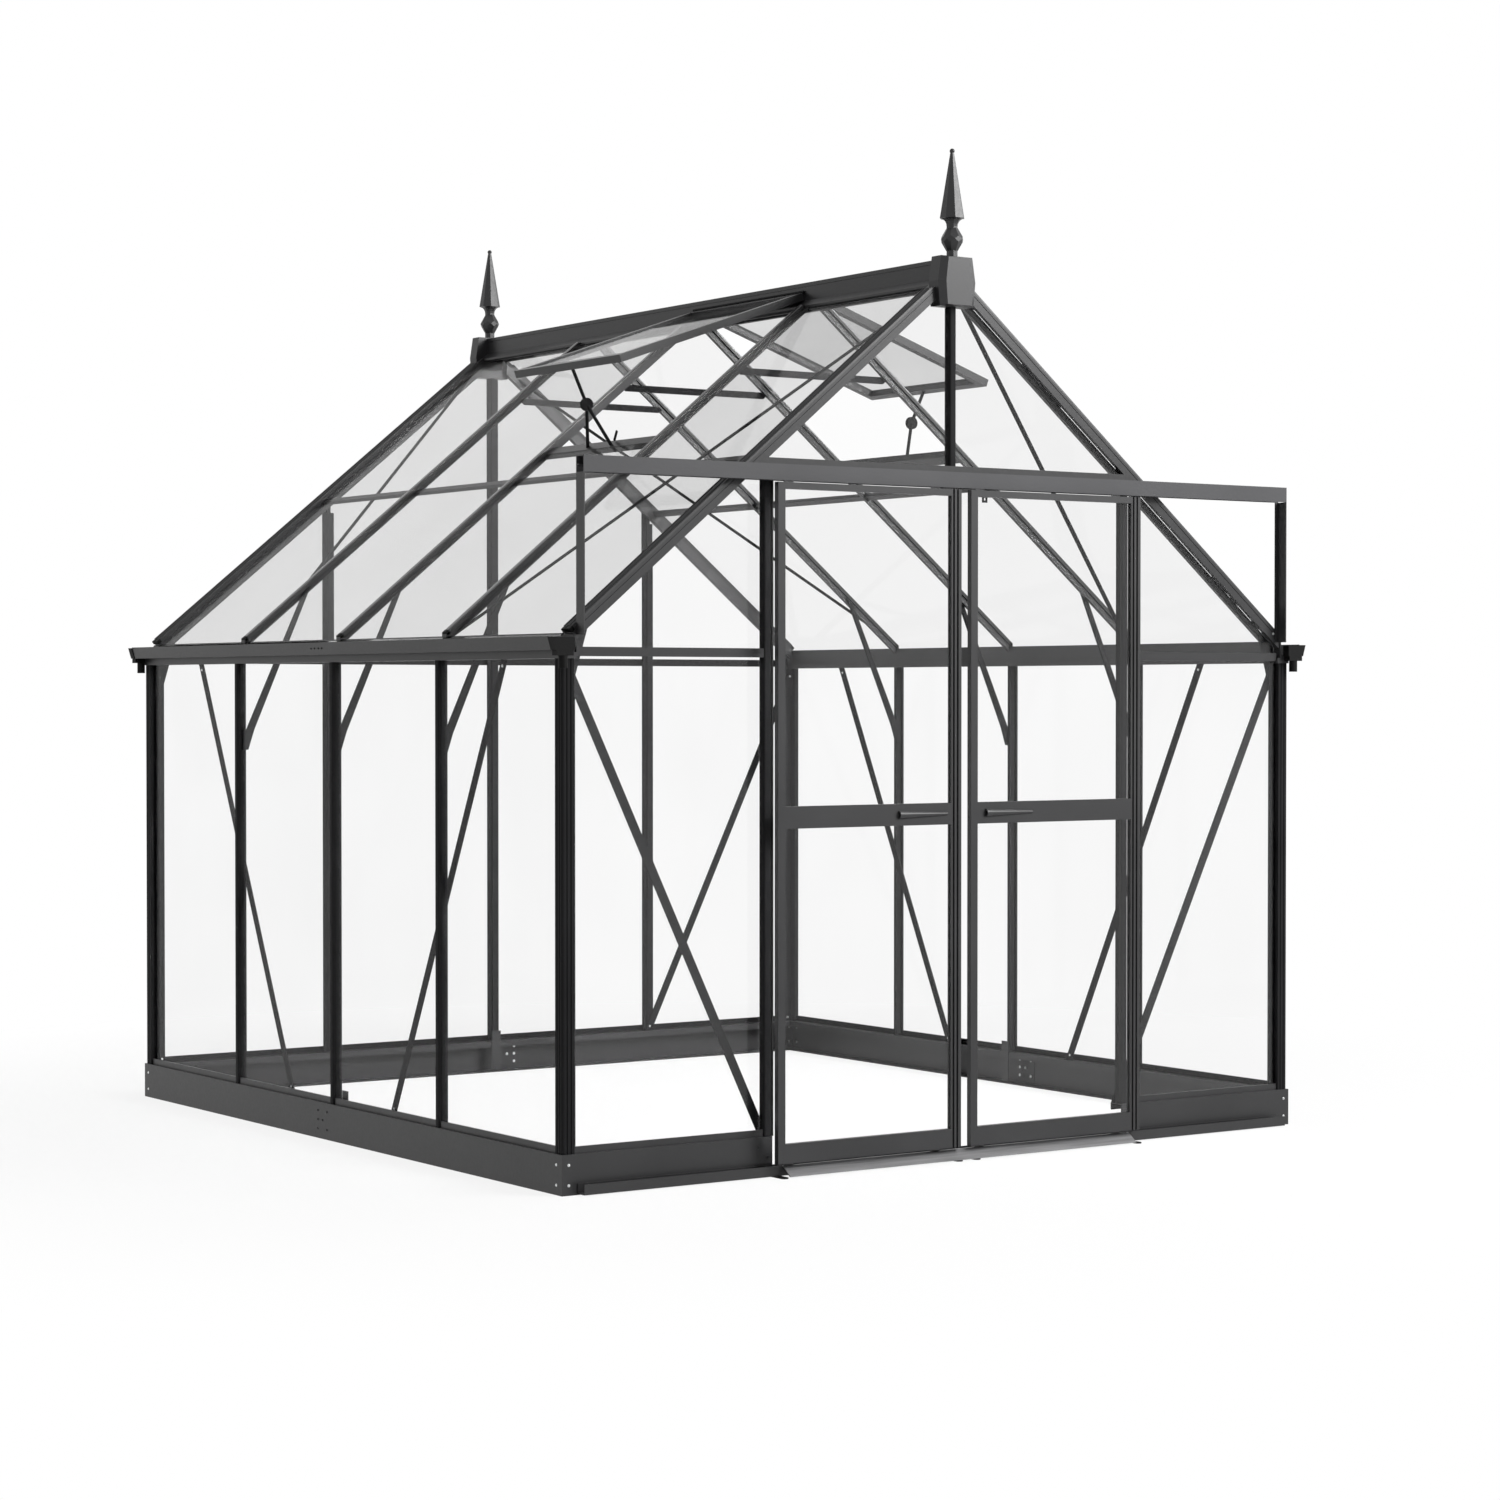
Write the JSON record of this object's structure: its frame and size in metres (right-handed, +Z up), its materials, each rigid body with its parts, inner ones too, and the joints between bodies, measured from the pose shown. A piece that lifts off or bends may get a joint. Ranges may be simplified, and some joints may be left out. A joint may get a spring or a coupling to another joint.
{
  "type": "glass greenhouse",
  "caption": "Walk-in greenhouse of dark coated glazing bars and clear glass on a low base, with a pitched roof, open roof vents, gutters, finials and sliding double doors.",
  "frame": {"origin": "on the ground, under the middle of the house with its threshold and ridge ends", "axes": "+Z up, -Y out through the doors at the front, +X to the right as seen from the front"},
  "size_m": [2.604, 2.66, 2.7779],
  "materials": {
    "anthracite_coating": "satin powder coat",
    "clear_glass": "clear, smooth",
    "black_plastic": "moulded, matt",
    "mill_aluminium": "bare mill finish"
  },
  "bodies": {
    "house": {"base_sides": "anthracite_coating", "base_rear": "anthracite_coating", "base_front": "anthracite_coating", "corner_posts": "anthracite_coating", "side_studs": "anthracite_coating", "rear_posts": "anthracite_coating", "door_jambs": "anthracite_coating", "eaves_gutters": "anthracite_coating", "gutter_outlets": "black_plastic", "gable_rafters": "anthracite_coating", "rafters": "anthracite_coating", "ridge_beam": "anthracite_coating", "ridge_caps": "anthracite_coating", "finials": "anthracite_coating", "purlins": "anthracite_coating", "collar_ties": "anthracite_coating", "knee_braces": "anthracite_coating", "roof_braces": "anthracite_coating", "wall_braces": "anthracite_coating", "gable_braces": "anthracite_coating", "corner_gussets": "anthracite_coating", "gable_bars": "anthracite_coating", "king_post": "anthracite_coating", "top_track": "anthracite_coating", "track_posts": "anthracite_coating", "bottom_track": "anthracite_coating", "threshold_ramp": "mill_aluminium", "track_feet": "black_plastic", "side_glass": "clear_glass", "front_glass": "clear_glass", "rear_glass": "clear_glass", "roof_glass": "clear_glass", "vent_frames": "anthracite_coating", "vent_glass": "clear_glass", "vent_openers": "anthracite_coating"},
    "left_door": {"left_stiles": "anthracite_coating", "left_rails": "anthracite_coating", "left_glass": "clear_glass", "left_handle": "anthracite_coating", "left_hangers": "mill_aluminium"},
    "right_door": {"right_stiles": "anthracite_coating", "right_rails": "anthracite_coating", "right_glass": "clear_glass", "right_handle": "anthracite_coating", "right_hangers": "mill_aluminium"}
  },
  "joints": [
    {"name": "left_door_slide", "type": "slide", "parent": "house", "child": "left_door", "axis": [-1, 0, 0], "range_m": [0, 0.575]},
    {"name": "right_door_slide", "type": "slide", "parent": "house", "child": "right_door", "axis": [1, 0, 0], "range_m": [0, 0.575]}
  ]
}
